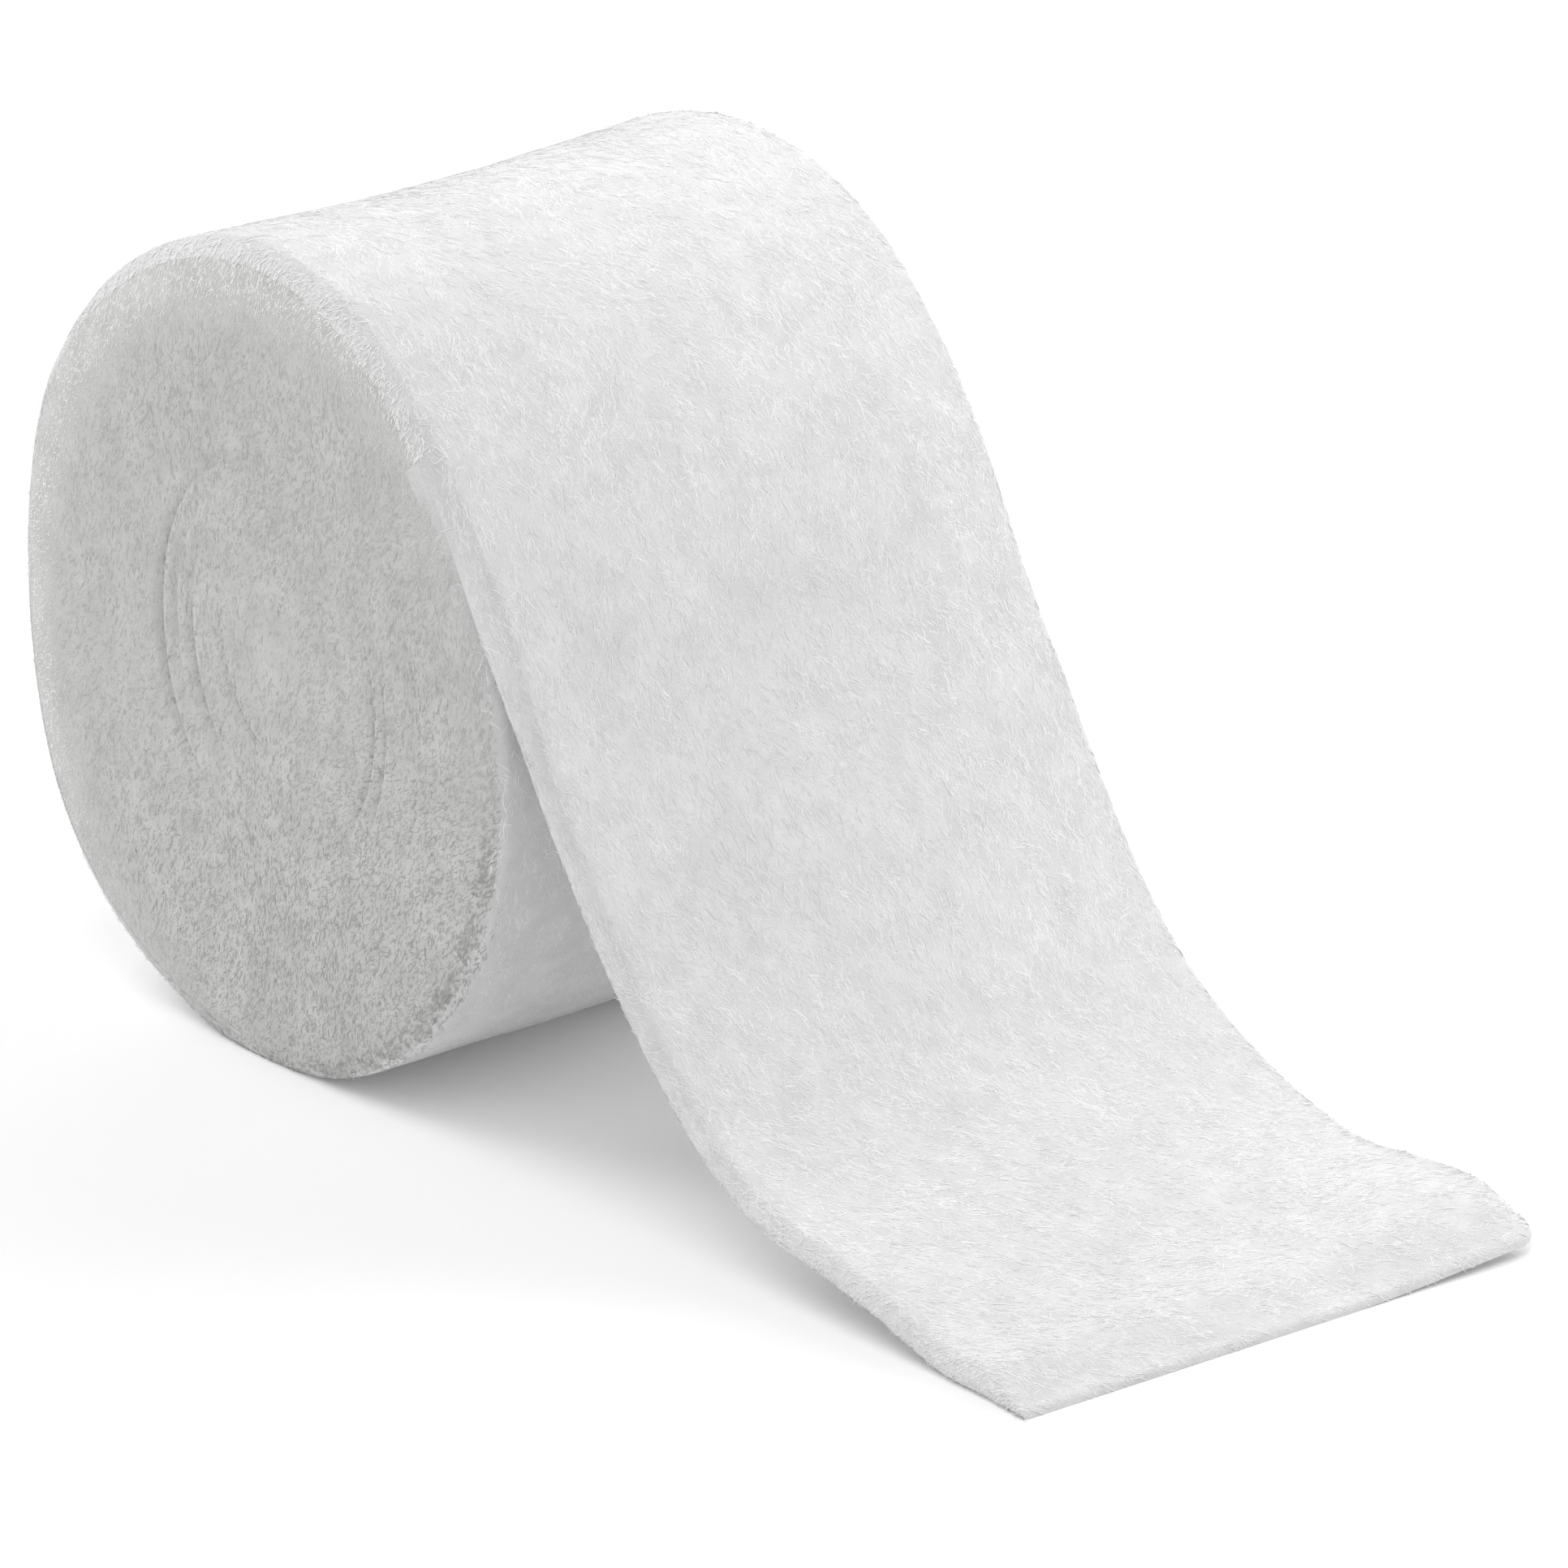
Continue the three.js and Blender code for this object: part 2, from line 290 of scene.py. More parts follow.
def strip_line():
    """Underside of the strip at mid width: its outer turn, then the loose end. Returns the
    points, how far along the strip each lies, and how far along the loose end begins. The
    points are a fixed step apart, and closer at the cut end."""
    turns = np.linspace(1 + TUCK_TURNS, 0.0, LINE_TURN_STEPS)
    outer_turn = wound(turns, PAD_WOUND)
    seated = wound(np.array(SEATED_TURNS), -SEAT_GAP)
    loose = spline(np.vstack([outer_turn[-1:], seated, np.array(LOOSE_PATH)]), LINE_PATH_STEPS)
    line = np.vstack([outer_turn[:-1], loose])
    gone = np.concatenate([[0], np.cumsum(np.linalg.norm(np.diff(line, axis=0), axis=1))])
    leaves = gone[len(outer_turn) - 1]
    count = int(round(gone[-1] / STRIP_STEP)) + 1
    even = np.linspace(0, gone[-1], count)
    path = np.stack([np.interp(even, gone, line[:, axis]) for axis in (0, 1)], axis=-1)
    for _ in range(LINE_SMOOTHINGS):
        path[1:-1] = 0.25 * path[:-2] + 0.5 * path[1:-1] + 0.25 * path[2:]
    fine = gone[-1] - np.arange(0, CUT_FINE_LENGTH, CUT_FINE_STEP)[::-1]
    places = np.concatenate([even[even < fine[0] - CUT_FINE_STEP], fine])
    line = np.stack([np.interp(places, even, path[:, axis]) for axis in (0, 1)], axis=-1)
    return line, places, leaves


def shoulder_value(turns, column):
    return np.interp(
        turns % 1, [row["turns"] for row in SHOULDER], [row[column] for row in SHOULDER]
    )


def shoulder_drop(turns, share):
    """How far the soft shoulder lies behind the plane of the end face. turns counts whole
    turns above the point, share is the place across its own turn. Just under the loose end
    the shoulder is the loose end's."""
    def fallen(turns, depth):
        reach = shoulder_value(turns, "reach")
        left = 1 - np.clip(depth / (shoulder_value(turns, "spread") * reach), 0, 1)
        slope = 1 - np.clip(depth / FALL_WIDTH, 0, 1)
        return reach * (1 - np.sqrt(1 - left ** 2)) + shoulder_value(turns, "fall") * slope ** 2
    depth = PAD_WOUND * (np.floor(turns) + share)
    own = fallen(turns, depth)
    covered = fallen(0.0, depth + PAD_WOUND)
    return between(own, covered, ease(COVERED_FROM, 1, turns % 1))


def strip_sections(turns, thickness, hugging):
    """The strip's cross-section at each step of its length, as places across it and up
    through it, from 0 below to 1 on top. Where it hugs the roll its edges are the roll's
    shoulder, and where it is free they are half round."""
    share = np.linspace(0, 1, EDGE_STEPS + 1)[1:-1]
    round_out, round_up = np.sin(np.pi * share), 0.5 + 0.5 * np.cos(np.pi * share)
    rim_share = 1 - np.cos(np.pi * share / 2)
    reach = between(thickness / 2, shoulder_drop(turns, 0.0), hugging)
    hugging = hugging[:, None]
    inner = (HALF_WIDTH - reach)[:, None]
    round_edge = inner + reach[:, None] * round_out
    shoulder_edge = HALF_WIDTH - shoulder_drop(turns[:, None], rim_share)
    edge = between(round_edge, shoulder_edge, hugging)
    edge_up = between(round_up, 1 - rim_share, hugging)
    corner = HALF_WIDTH - shoulder_drop(turns, 1.0)[:, None]
    top = np.linspace(-1, 1, TOP_STEPS + 1) * inner
    under = np.linspace(1, -1, UNDER_STEPS + 1) * between(inner, corner, hugging)
    across = np.hstack([top, edge, under, -edge[:, ::-1]])
    up = np.hstack([np.ones_like(top), edge_up, np.zeros_like(under), edge_up[:, ::-1]])
    return across, up


def strip_lumps(places, across, up, leaves):
    """Height of the strip's own unevenness: soft lumps and shallow troughs."""
    length = places[:, None]
    drift = bumps(LUMP_DRIFT, length, across)
    broad = bumps(BROAD_LUMPS, length + drift, across - drift, up)
    small = bumps(SMALL_LUMPS, length + across * SMALL_LUMP_LEAN, across - drift, up)
    fine = bumps(FINE_LUMPS, length, across, up)
    height = (broad + small + fine) * ease(0, LUMPS_FULL_UP, up)
    height = height * ease(0, LUMPS_FADE_AT_CUT, places[-1] - places)[:, None]
    height = height * between(LUMPS_ON_ROLL, 1, ease(0, LUMPS_FREE_LENGTH, places - leaves))[:, None]
    return height * ease(0, LUMPS_FADE_AT_TUCK, places)[:, None]


def far_corner_cut(across, to_cut):
    """How far the rounded far corner of the cut end lies behind a square one."""
    beyond = np.maximum(0, across - (HALF_WIDTH - FAR_CORNER_RADIUS))
    cut = FAR_CORNER_RADIUS - np.sqrt(np.maximum(0, FAR_CORNER_RADIUS ** 2 - beyond ** 2))
    return cut * (1 - ease(0, FAR_CORNER_LENGTH, to_cut))[:, None]


def strip_points():
    """Rings of points round the strip, one ring to a step of its length."""
    line, places, leaves = strip_line()
    tangent = np.gradient(line, places, axis=0)
    tangent /= np.linalg.norm(tangent, axis=1)[:, None]
    loose, to_cut = places - leaves, places[-1] - places
    thickness = between(PAD_WOUND, PAD_FREE, ease(0, SWELL_LENGTH, loose))
    thickness = thickness * between(CUT_THIN, 1, ease(0, CUT_THIN_LENGTH, to_cut))
    hugging = 1 - ease(EDGE_MORPH_START, EDGE_MORPH_FULL, loose)
    turns = np.clip(-loose / leaves * (1 + TUCK_TURNS), 0, JUST_BELOW_A_TURN)
    y, up = strip_sections(turns, thickness, hugging)
    y = y * between(TUCK_NARROWING, 1, ease(0, TUCK_LENGTH, places))[:, None]

    rounding = np.sqrt(1 - np.clip(1 - to_cut / CUT_ROUNDING, 0, 1) ** 2)
    squeezed = up * np.maximum(rounding, CUT_LEAST)[:, None]
    lift = thickness[:, None] * squeezed + strip_lumps(places, y, up, leaves)
    x = line[:, :1] - tangent[:, 1:] * lift - far_corner_cut(y, to_cut)
    z = line[:, 1:] + tangent[:, :1] * lift

    side = y / HALF_WIDTH
    slant = side * CUT_SLANT * (1 - ease(0, CUT_SLANT_LENGTH, to_cut))[:, None]
    hump = along(FAR_HUMP, x) * ease(FAR_HUMP_INNER_SIDE, 1, side)
    moved_x = x - side * along(LOOSE_SKEW, x) + slant
    moved_z = z - side * along(LOOSE_TWIST, x) + hump
    points = settled(np.stack([moved_x, y, moved_z], axis=-1))
    return points, {"length": places, "across": y, "up": up, "leaves": leaves}


# Meshes from grids of points
def grid_quads(ids, wrap=False):
    """Quads between the rows of a grid of vertex numbers."""
    if wrap:
        ids = np.hstack([ids, ids[:, :1]])
    return np.stack([ids[:-1, :-1], ids[:-1, 1:], ids[1:, 1:], ids[1:, :-1]], axis=-1).reshape(-1, 4)


def facing_outward(points, quads, triangles):
    """The faces, turned round if they enclose the points inside out."""
    halves = np.concatenate([quads[:, [0, 1, 2]], quads[:, [0, 2, 3]], triangles])
    a, b, c = (points[halves[:, corner]] for corner in range(3))
    if np.einsum("ij,ij->i", a, np.cross(b, c)).sum() < 0:
        return quads[:, ::-1], triangles[:, ::-1]
    return quads, triangles


def make_object(name, points, quads, triangles, material, sharp=True):
    """A mesh object from points in millimetres, quads and triangles."""
    mesh = bpy.data.meshes.new(name)
    mesh.vertices.add(len(points))
    mesh.vertices.foreach_set("co", (points * MM).astype(np.float32).ravel())
    corners = np.concatenate([quads.ravel(), triangles.ravel()]).astype(np.int32)
    starts = np.concatenate([
        np.arange(len(quads)) * 4,
        len(quads) * 4 + np.arange(len(triangles)) * 3,
    ]).astype(np.int32)
    mesh.loops.add(len(corners))
    mesh.loops.foreach_set("vertex_index", corners)
    mesh.polygons.add(len(starts))
    mesh.polygons.foreach_set("loop_start", starts)
    mesh.polygons.foreach_set("use_smooth", np.full(len(starts), True))
    mesh.update(calc_edges=True)
    mesh.validate()
    if sharp:
        mesh.set_sharp_from_angle(angle=SHARP_ANGLE)
    mesh.materials.append(material)
    made = bpy.data.objects.new(name, mesh)
    bpy.context.scene.collection.objects.link(made)
    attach(made, "root")
    return made


def set_attribute(made, name, values):
    attribute = made.data.attributes.new(name, "FLOAT", "POINT")
    attribute.data.foreach_set("value", values.astype(np.float32).ravel())


def set_uv(made, name, places):
    """places is one pair for each vertex."""
    corners = np.zeros(len(made.data.loops), np.int32)
    made.data.loops.foreach_get("vertex_index", corners)
    layer = made.data.uv_layers.new(name=name)
    layer.data.foreach_set("uv", places[corners].astype(np.float32).ravel())


# Materials. The wadding goes from a darker to a lighter colour by the density stored at each vertex,
# and a mottle is added to it. On the strip that value is the wadding's thickness with a patch of
# painted shade, and on the roll's end faces it is painted light and shade. Texture scales are bumps to
# a metre
THICK_COLOUR = (0.855, 0.855, 0.86, 1)
# The darker strip colour is also the colour of the painted shade patch on the loose end
THIN_OR_SHADED_COLOUR = (0.66, 0.66, 0.66, 1)
# The rim colour is painted light on the rim of the end faces
LIT_RIM_COLOUR = (0.95, 0.95, 0.945, 1)
# The cut edge colour is the turns' darker cut edges, partly painted shade of the end faces
SHADED_CUT_EDGE_COLOUR = (0.42, 0.422, 0.408, 1)
STRIP_MOTTLE = 0.9
FACE_MOTTLE = 0.3
SHADE_FROM = -0.15
SHADE_FULL = 0.5
STRIP_FIBRE_DARK = (0.74, 0.74, 0.74, 1)
STRIP_FIBRE_LIGHT = (0.965, 0.965, 0.97, 1)
FACE_FIBRE_LIGHT = (0.98, 0.98, 0.975, 1)


def node(tree, kind, **values):
    """A shader node, with values for its sockets by name and for its own settings."""
    made = tree.nodes.new(kind)
    for key, value in values.items():
        if key in made.inputs:
            made.inputs[key].default_value = value
        else:
            setattr(made, key, value)
    return made


def link(tree, source, output, target, socket):
    tree.links.new(source.outputs[output], target.inputs[socket])


def new_material(name):
    material = bpy.data.materials.new(name)
    material.use_nodes = True
    return material, material.node_tree, material.node_tree.nodes["Principled BSDF"]


def ramp(tree, stops):
    made = tree.nodes.new("ShaderNodeValToRGB")
    elements = made.color_ramp.elements
    while len(elements) < len(stops):
        elements.new(0.5)
    for element, (place, grey) in zip(elements, stops):
        element.position = place
        element.color = (grey, grey, grey, 1)
    return made


def wadding_material(name, thick_or_lit, thin_or_shaded, mottled):
    """Matted white fibres: places with less wadding, painted shade and cut edges are darker, painted
    light on the end faces' rim is lighter, fine curly lines show the fibres."""
    material, tree, shader = new_material(name)
    shader.inputs["Roughness"].default_value = 0.95
    shader.inputs["Specular IOR Level"].default_value = 0.15
    shader.inputs["Sheen Weight"].default_value = 0.25
    shader.inputs["Sheen Roughness"].default_value = 0.6

    where = node(tree, "ShaderNodeTexCoord")
    warp = node(tree, "ShaderNodeTexNoise", Scale=420.0, Detail=1.0)
    link(tree, where, "Object", warp, "Vector")
    bent = node(tree, "ShaderNodeMixRGB", blend_type="LINEAR_LIGHT", Fac=0.0022)
    link(tree, where, "Object", bent, "Color1")
    link(tree, warp, "Color", bent, "Color2")
    strands = node(tree, "ShaderNodeTexNoise", Scale=1500.0, Detail=2.5, Roughness=0.6)
    link(tree, bent, "Color", strands, "Vector")
    lines = ramp(tree, [(0.36, 0.0), (0.5, 1.0), (0.64, 0.0)])
    link(tree, strands, "Fac", lines, "Fac")

    density = node(tree, "ShaderNodeAttribute", attribute_name="density")
    mottle = node(tree, "ShaderNodeTexNoise", Scale=230.0, Detail=3.0, Roughness=0.55)
    link(tree, where, "Object", mottle, "Vector")
    summed = node(tree, "ShaderNodeMath", operation="MULTIPLY_ADD")
    summed.inputs[1].default_value = mottled
    link(tree, mottle, "Fac", summed, 0)
    link(tree, density, "Fac", summed, 2)
    mean_mottle = 0.5 * mottled
    shade = ramp(tree, [(mean_mottle + SHADE_FROM, 0.0), (mean_mottle + SHADE_FULL, 1.0)])
    link(tree, summed, "Value", shade, "Fac")

    # From the shaded or sparse colour to the lit or full one, by the wadding's thickness with painted
    # light and shade
    soft = node(tree, "ShaderNodeMixRGB", Color1=thin_or_shaded, Color2=thick_or_lit)
    link(tree, shade, "Color", soft, "Fac")
    # The cut attribute mixes in the cut edge colour as painted shade on the strip's edge along the roll
    cut = node(tree, "ShaderNodeAttribute", attribute_name="cut")
    body = node(tree, "ShaderNodeMixRGB", Color2=SHADED_CUT_EDGE_COLOUR)
    link(tree, cut, "Fac", body, "Fac")
    link(tree, soft, "Color", body, "Color1")
    light_lines = node(tree, "ShaderNodeMixRGB", blend_type="SCREEN", Fac=0.12)
    link(tree, body, "Color", light_lines, "Color1")
    link(tree, lines, "Color", light_lines, "Color2")
    link(tree, light_lines, "Color", shader, "Base Color")
    relief = node(tree, "ShaderNodeBump", Strength=0.25, Distance=0.12 * MM)
    link(tree, lines, "Color", relief, "Height")
    link(tree, relief, "Normal", shader, "Normal")
    return material


def fibre_material(name, dark, light):
    """Single fibres, from tones stored with each one."""
    material, tree, shader = new_material(name)
    shader.inputs["Roughness"].default_value = 0.75
    shader.inputs["Specular IOR Level"].default_value = 0.2
    shader.inputs["Sheen Weight"].default_value = 0.2
    tone = node(tree, "ShaderNodeAttribute", attribute_name="tone")
    body = node(tree, "ShaderNodeMixRGB", Color1=dark, Color2=light)
    link(tree, tone, "Fac", body, "Fac")
    link(tree, body, "Color", shader, "Base Color")
    return material


# Tone of the end faces: the turns' cut edges are darker than the soft rim, partly as painted shade. The
# rim is lighter towards -X and +Z, as painted light where the light falls, and the face is darkest low
# down, as painted shade
FACE_TONE = 0.22
RIM_TONE = 1.25
RIM_POWER = 1.3
RIM_FROM = 0.7
RIM_LIGHT = {"even": 0.55, "to_x": -0.45, "to_z": 0.35}
LOW_SHADE = {"tone": 0.34, "from": -0.1, "full": 0.9, "to_x": 0.35}
FACE_PATCHES = [
    {"size": 0.03, "long": 9, "wide": 12, "seed": 21},
    {"size": 0.03, "long": 2, "wide": 3, "seed": 22},
]
FACE_TONE_SCALE = 0.65
FACE_TONE_LESS = 0.15


def face_tone(points):
    """How light a place on the end faces is: painted light on the rim, painted shade low down and
    towards +X, and small random patches.
    """
    x, z = points[..., 0], points[..., 2] - ROLL_CENTRE_Z
    to_x, to_z = x / ROLL_HALF_X, z / ROLL_HALF_Z
    rim = ease(RIM_FROM, 1.0, np.hypot(to_x, to_z)) ** RIM_POWER
    # Painted light: the rim is lighter towards -X and +Z, where the light falls
    light = RIM_LIGHT["even"] + RIM_LIGHT["to_x"] * to_x + RIM_LIGHT["to_z"] * to_z
    # Painted shade: darker low down and towards +X
    low = ease(LOW_SHADE["from"], LOW_SHADE["full"], LOW_SHADE["to_x"] * to_x - to_z)
    patches = sum(bumps(row, x, z) for row in FACE_PATCHES)
    return FACE_TONE + RIM_TONE * light * rim - LOW_SHADE["tone"] * low + patches


# How much wadding the strip has: uneven all over and denser at its edges, with patches of less wadding
# placed along the loose end and across from the middle. The first, broad patch is painted shade,
# darkening the steep middle of the loose end, most on its near side
MEAN_THICKNESS = 0.72
UNEVEN_THICKNESS = [
    {"size": 0.10, "long": 17, "wide": 13, "seed": 41},
    {"size": 0.14, "long": 8, "wide": 5, "seed": 42},
    {"size": 0.08, "long": 3.5, "wide": 2.2, "seed": 43},
]
THIN_AND_SHADED_PATCHES = [
    # The first row is painted shade over the steep middle of the loose end, most on its near side; the
    # other rows are places with less wadding
    {"loose": 40, "across": -14, "long": 50, "wide": 52, "thinner_or_shaded": 0.62},
    {"loose": 25, "across": -30, "long": 14, "wide": 14, "thinner_or_shaded": 0.15},
    {"loose": 30, "across": -4, "long": 12, "wide": 12, "thinner_or_shaded": 0.18},
    {"loose": 17, "across": 18, "long": 9, "wide": 10, "thinner_or_shaded": 0.15},
    {"loose": 41, "across": -28, "long": 9, "wide": 9, "thinner_or_shaded": 0.12},
    {"loose": 52, "across": -2, "long": 10, "wide": 12, "thinner_or_shaded": 0.12},
    {"loose": 101, "across": -4, "long": 14, "wide": 14, "thinner_or_shaded": 0.10},
]
DENSE_EDGE_WIDTH = 4.0
DENSE_EDGE = 0.15
STRIP_TONE_LESS = 0.1


def strip_thickness_and_shade(loose, across):
    """How much wadding the strip has, from 0 to 1 and a little beyond, less the painted shade patch.
    loose is the length past the place where the loose end leaves the roll."""
    thick_or_lit = sum((bumps(row, loose, across) for row in UNEVEN_THICKNESS), MEAN_THICKNESS)
    for row in THIN_AND_SHADED_PATCHES:
        away = np.hypot((loose - row["loose"]) / row["long"], (across - row["across"]) / row["wide"])
        thick_or_lit = thick_or_lit - row["thinner_or_shaded"] * (1 - ease(0, 1, away))
    return thick_or_lit


# On the roll, the strip's edge is as dark as the end face around it, or nearly: painted shade that
# follows the end faces' painted light and shade
CUT_EDGE_TONE = 1.1
CUT_EDGE_SHARE = 0.42
CUT_EDGE_FULL_DOWN = 0.4


def strip_edge_shade(points, facts):
    """How far the strip has the colour of a cut edge: painted shade on its edge where it lies on the
    roll, darker where the end face has painted shade.
    """
    on_roll = 1 - ease(0, EDGE_MORPH_START, facts["length"] - facts["leaves"])[:, None]
    on_edge = on_roll * ease(0, CUT_EDGE_FULL_DOWN, 1 - facts["up"])
    return CUT_EDGE_SHARE * on_edge * np.clip(CUT_EDGE_TONE - face_tone(points), 0, 1)


# The strip: outer turn and loose end, closed at both ends by a fan round a middle point
def make_strip(material):
    points, facts = strip_points()
    stations, ring = points.shape[:2]
    ids = np.arange(stations * ring).reshape(stations, ring)
    quads = grid_quads(ids, wrap=True)
    middles = np.stack([points[0].mean(axis=0), points[-1].mean(axis=0)])
    flat = np.vstack([points.reshape(-1, 3), middles])
    first, last = ids[0], ids[-1]
    triangles = np.concatenate([
        np.stack([np.roll(first, -1), first, np.full(ring, len(flat) - 2)], axis=-1),
        np.stack([last, np.roll(last, -1), np.full(ring, len(flat) - 1)], axis=-1),
    ])
    quads, triangles = facing_outward(flat, quads, triangles)
    strip = make_object("padding_strip", flat, quads, triangles, material)
    # The strip's tone: the wadding's thickness, the painted shade patch and its denser edges
    density = strip_thickness_and_shade((facts["length"] - facts["leaves"])[:, None], facts["across"])
    edge = ease(HALF_WIDTH - DENSE_EDGE_WIDTH, HALF_WIDTH, np.abs(facts["across"]))
    density = density + DENSE_EDGE * edge - STRIP_TONE_LESS
    set_attribute(strip, "density", np.concatenate([density.ravel(), [0.5, 0.5]]))
    # cut: painted shade on the strip's edge where it lies on the roll
    set_attribute(strip, "cut", np.concatenate([strip_edge_shade(points, facts).ravel(), [0, 0]]))
    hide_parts("loose_end")
    return points, facts


# The rest of the winding, with the turns showing on its end faces
def parted(turns, share):
    """How far a turn has come away from its neighbour at a place on the winding."""
    seam = turns + np.round(share)
    depth = sum(row["depth"] * np.exp(-((seam - row["turns"]) / row["half"]) ** 2) for row in PARTED)
    return depth * ease(PARTED_EDGE_FROM, 1.0, np.abs(2 * share - 1))


def face_drop(turns, share):
    """How far a point of an end face lies behind the plane of the strip's edges. share is the
    place across the turn."""
    depth = (turns + share) / DISH_TURNS
    angle = turns * 2 * np.pi
    ridge = np.sin(np.pi * share) ** RIDGE_POWER
    around = noise(turns, np.cos(angle) * GROOVE_BUMPS, np.sin(angle) * GROOVE_BUMPS, seed=11)
    groove = GROOVE_AT_CORE * np.clip(depth, 0, 1) ** GROOVE_GROWTH * (1 + GROOVE_UNEVEN * around)
    groove = groove + PARTED_GROOVE * parted(turns, share)
    slow = noise(turns * SLOW_WANDER_RATE + WANDER_START, seed=12)
    quick = noise(turns * QUICK_WANDER_RATE, seed=13)
    wander = TURN_WANDER * (WANDER_MEAN + slow + QUICK_WANDER_SHARE * quick)
    wander = wander * ridge * ease(*WANDER_FROM, turns)
    whole = 1 - ease(*CORE_FADE, turns)
    groove, wander = groove * whole, wander * whole
    return DISH_DEPTH * depth ** 2 + groove * (1 - ridge) + wander + shoulder_drop(turns, share)


def face_points(side, first_turn):
    """Points of an end face, one row to a place along the turns and one column across."""
    steps = int(round((FACE_TURNS - first_turn) * STEPS_PER_TURN))
    turns = (first_turn + np.arange(steps + 1) / STEPS_PER_TURN)[:, None]
    share = np.linspace(0, 1, TURN_STEPS + 1)[None, :]
    inset = share * PAD_WOUND
    place = wound(turns + 0 * share, inset + 0 * turns)
    y = side * (HALF_WIDTH - face_drop(turns, share))
    return settled(np.stack([place[..., 0], y, place[..., 1]], axis=-1)), turns


def face_ids(steps, start):
    """Vertex numbers of a spiral grid whose last column is the first one, a turn later."""
    ids = np.full((steps + 1, TURN_STEPS + 1), -1)
    ids[:, :TURN_STEPS] = start + np.arange((steps + 1) * TURN_STEPS).reshape(steps + 1, TURN_STEPS)
    ids[:steps + 1 - STEPS_PER_TURN, TURN_STEPS] = ids[STEPS_PER_TURN:, 0]
    inner = np.arange(steps + 1 - STEPS_PER_TURN, steps + 1)
    ids[inner, TURN_STEPS] = start + (steps + 1) * TURN_STEPS + np.arange(len(inner))
    return ids, (steps + 1) * TURN_STEPS + len(inner)


def face_mesh(side, start):
    """One end face of the roll, from its second turn inwards: its points, quads and
    triangles, and the vertex numbers of its outline."""
    face, turns = face_points(side, 1)
    steps = len(turns) - 1
    ids, count = face_ids(steps, start)
    points = np.zeros((count + 1, 3))
    points[ids.ravel() - start] = face.reshape(-1, 3)
    core_loop = np.concatenate([
        ids[steps - STEPS_PER_TURN:, TURN_STEPS], ids[steps, TURN_STEPS - 1:0:-1],
        ids[steps:steps + 1, 0],
    ])
    points[count] = points[core_loop - start].mean(axis=0)
    middle = np.full(len(core_loop), start + count)
    quads = grid_quads(ids)
    triangles = np.stack([core_loop, np.roll(core_loop, -1), middle], axis=-1)
    if side > 0:
        quads, triangles = quads[:, ::-1], triangles[:, ::-1]
    outline = np.concatenate([ids[:STEPS_PER_TURN + 1, 0], ids[0, TURN_STEPS - 1:0:-1]])
    return points, quads, triangles, outline


def make_roll(material):
    near, near_quads, near_triangles, near_outline = face_mesh(-1, 0)
    far, far_quads, far_triangles, far_outline = face_mesh(1, len(near))
    points = np.vstack([near, far])
    rows = [near_outline]
    for step in range(1, SIDE_STEPS):
        mix = between(points[near_outline], points[far_outline], step / SIDE_STEPS)
        rows.append(len(points) + np.arange(len(mix)))
        points = np.vstack([points, mix])
    rows.append(far_outline)
    quads = np.concatenate([near_quads, far_quads, grid_quads(np.stack(rows), wrap=True)])
    triangles = np.concatenate([near_triangles, far_triangles])
    quads, triangles = facing_outward(points, quads, triangles)
    roll = make_object("padding_roll", points, quads, triangles, material)
    # The end faces' tone holds their painted light and shade
    set_attribute(roll, "density", FACE_TONE_SCALE * face_tone(points) - FACE_TONE_LESS)
    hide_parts("wound_roll")


# Fibres: thin pointed ribbons that lie on the wadding and curl, made as joined meshes. The
# ends of a fibre are sunk, its middle is lifted, and rise is the slope at which it stands out
STRIP_FIBRE = {
    "length": 1.8, "shortest": 0.8, "longest": 3.6, "width": (0.06, 0.13),
    "bend": (0.15, 0.6), "lift": (0.01, 0.06), "sink": 0.02, "rise": 0.0,
}
FACE_FIBRE = {
    "length": 0.85, "shortest": 0.4, "longest": 1.9, "width": (0.05, 0.12),
    "bend": (0.1, 0.4), "lift": (0.01, 0.06), "sink": 0.03, "rise": 0.03,
}
LENGTH_SPREAD = 0.35
FIBRE_PLACES = np.array([0.0, 0.36, 0.70, 1.0])
RISE_POWER = 1.3
LARGEST_TILT = 0.15
LOWEST_FIBRE = 0.04


def sampled(grid, row, column):
    """Values of a grid at places between its rows and columns."""
    row = np.clip(row, 0, grid.shape[0] - 1.001)
    column = np.clip(column, 0, grid.shape[1] - 1.001)
    above, before = row.astype(int), column.astype(int)
    shape = (-1,) + (1,) * (grid.ndim - 2)
    down, right = (row - above).reshape(shape), (column - before).reshape(shape)
    upper = between(grid[above, before], grid[above, before + 1], right)
    lower = between(grid[above + 1, before], grid[above + 1, before + 1], right)
    return between(upper, lower, down)


def unit(vectors):
    return vectors / np.maximum(np.linalg.norm(vectors, axis=-1, keepdims=True), 1e-9)


